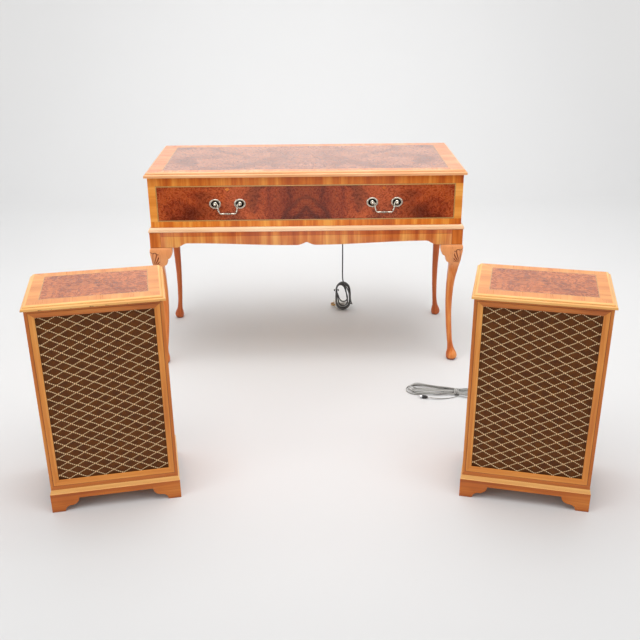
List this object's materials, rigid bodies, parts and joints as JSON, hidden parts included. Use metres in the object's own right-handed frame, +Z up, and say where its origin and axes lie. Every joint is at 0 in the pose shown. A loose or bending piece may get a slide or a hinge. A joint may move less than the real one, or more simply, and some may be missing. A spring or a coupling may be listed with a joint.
{
  "type": "stereo radio-gramophone with two loudspeakers",
  "caption": "Crossbanded console on carved cabriole legs with a record deck and radio under its lid, and two free-standing loudspeakers.",
  "frame": {"origin": "on the floor, in the middle of the box round the console and both loudspeakers, without their cords", "axes": "+X runs along the long side of the set, to the right of someone who faces it. +Y runs from its front to its back. +Z is up."},
  "size_m": [1.6138, 1.5714, 0.74],
  "materials": {
    "veneer": "gloss lacquer over yew crossbanding",
    "burr_veneer": "gloss lacquer over burr walnut",
    "stained_wood": "satin lacquer on stained hardwood",
    "softwood": "unfinished",
    "hardboard": "unfinished",
    "silver_plate": "aged silver plate, dark in the hollows",
    "brass": "bright",
    "black_paint": "satin",
    "bright_steel": "bright",
    "zinc": "dull zinc plate",
    "rubber": "matt",
    "anodised": "spun and anodised",
    "cast_alloy": "turned",
    "glass": "clear",
    "grey_plastic": "matt",
    "grey_cord": "matt flex",
    "white_plastic": "glossy",
    "black_plastic": "glossy",
    "red_plastic": "glossy",
    "grille_cloth": "woven, with raised beige cords",
    "paper_black": "matt paper cone"
  },
  "bodies": {
    "set": {"case_front": "veneer", "front_burr_panel": "burr_veneer", "case_ends": "veneer", "case_base": "softwood", "inner_rails": "softwood", "back_panel": "hardboard", "lower_moulding": "stained_wood", "apron": "stained_wood", "front_legs": "stained_wood", "rear_legs": "stained_wood", "knee_brackets": "stained_wood", "handle_roses": "silver_plate", "deck_board": "veneer", "case_hinge": "brass", "deck_plate": "black_paint", "platter_bearing": "bright_steel", "deck_motor": "zinc", "drive_belt": "rubber", "arm_supports": "bright_steel", "tuner_fascia": "anodised", "dial_glass": "glass", "amplifier_chassis": "zinc", "mains_gland": "grey_plastic", "mains_lead": "grey_cord", "mains_hank": "grey_cord", "mains_plug": "white_plastic", "speaker_case_left": "veneer", "speaker_case_right": "veneer", "speaker_tops": "veneer", "speaker_plinths": "stained_wood", "grille_left": "grille_cloth", "grille_right": "grille_cloth", "baffles": "softwood", "woofers": "paper_black", "tweeters": "paper_black", "speaker_backs": "hardboard", "speaker_lead": "grey_cord", "speaker_hank": "grey_cord", "speaker_plug": "black_plastic"},
    "lid": {"lid_panel": "burr_veneer", "lid_moulding": "stained_wood", "lid_hinge": "brass", "lid_stay": "brass"},
    "bail_left": {"bail_left": "silver_plate"},
    "bail_right": {"bail_right": "silver_plate"},
    "platter": {"platter": "cast_alloy", "platter_mat": "rubber"},
    "motor_pulley": {"motor_pulley": "brass"},
    "arm_swing": {"arm_gimbal": "bright_steel"},
    "arm_lift": {"arm_tube": "bright_steel", "headshell": "black_plastic", "counterweight": "bright_steel"},
    "speed_knob": {"speed_knob": "black_plastic"},
    "dial_pointer": {"dial_pointer": "red_plastic"},
    "tuning_knob": {"tuning_knob": "anodised"},
    "volume_knob": {"volume_knob": "anodised"},
    "balance_knob": {"balance_knob": "anodised"},
    "tone_knob": {"tone_knob": "anodised"},
    "power_button": {"power_button": "white_plastic"},
    "band_button": {"band_button": "white_plastic"}
  },
  "joints": [
    {"name": "lid_hinge", "type": "hinge", "parent": "set", "child": "lid", "pos_m": [-0.03499, 0.72856, 0.72215], "axis": [-1, 0, 0], "range_deg": [0, 76]},
    {"name": "bail_left_swing", "type": "hinge", "parent": "set", "child": "bail_left", "pos_m": [-0.31499, 0.25256, 0.625], "axis": [-1, 0, 0], "range_deg": [0, 95]},
    {"name": "bail_right_swing", "type": "hinge", "parent": "set", "child": "bail_right", "pos_m": [0.24501, 0.25256, 0.625], "axis": [-1, 0, 0], "range_deg": [0, 95]},
    {"name": "platter_spin", "type": "hinge", "parent": "set", "child": "platter", "pos_m": [-0.36499, 0.49296, 0.646], "axis": [0, 0, -1], "continuous": true},
    {"name": "pulley_spin", "type": "hinge", "parent": "set", "child": "motor_pulley", "pos_m": [-0.43899, 0.41896, 0.647], "axis": [0, 0, -1], "continuous": true},
    {"name": "arm_swing", "type": "hinge", "parent": "set", "child": "arm_swing", "pos_m": [-0.18499, 0.59896, 0.679], "axis": [0, 0, -1], "range_deg": [0, 45]},
    {"name": "arm_lift", "type": "hinge", "parent": "arm_swing", "child": "arm_lift", "pos_m": [-0.18499, 0.59896, 0.679], "axis": [-1, 0, 0], "range_deg": [0, 8]},
    {"name": "speed_select", "type": "hinge", "parent": "set", "child": "speed_knob", "pos_m": [-0.50499, 0.37296, 0.643], "axis": [0, 0, -1], "range_deg": [-45, 45]},
    {"name": "tuning_turn", "type": "hinge", "parent": "set", "child": "tuning_knob", "pos_m": [0.39501, 0.37896, 0.643], "axis": [0, 0, -1], "range_deg": [-720, 720]},
    {"name": "pointer_slide", "type": "slide", "parent": "set", "child": "dial_pointer", "axis": [1, 0, 0], "range_m": [-0.161, 0.161]},
    {"name": "volume_turn", "type": "hinge", "parent": "set", "child": "volume_knob", "pos_m": [0.02501, 0.37896, 0.643], "axis": [0, 0, -1], "range_deg": [0, 300]},
    {"name": "balance_turn", "type": "hinge", "parent": "set", "child": "balance_knob", "pos_m": [0.08501, 0.37896, 0.643], "axis": [0, 0, -1], "range_deg": [-140, 140]},
    {"name": "tone_turn", "type": "hinge", "parent": "set", "child": "tone_knob", "pos_m": [0.14501, 0.37896, 0.643], "axis": [0, 0, -1], "range_deg": [-140, 140]},
    {"name": "power_press", "type": "slide", "parent": "set", "child": "power_button", "axis": [0, 0, -1], "range_m": [0, 0.004], "stiffness_N_per_m": 300},
    {"name": "band_press", "type": "slide", "parent": "set", "child": "band_button", "axis": [0, 0, -1], "range_m": [0, 0.004], "stiffness_N_per_m": 300}
  ],
  "couplings": [
    {"joint": "pulley_spin", "follows": "platter_spin", "ratio": 8.125},
    {"joint": "pointer_slide", "follows": "tuning_turn", "m_per_rad": 0.012732}
  ]
}
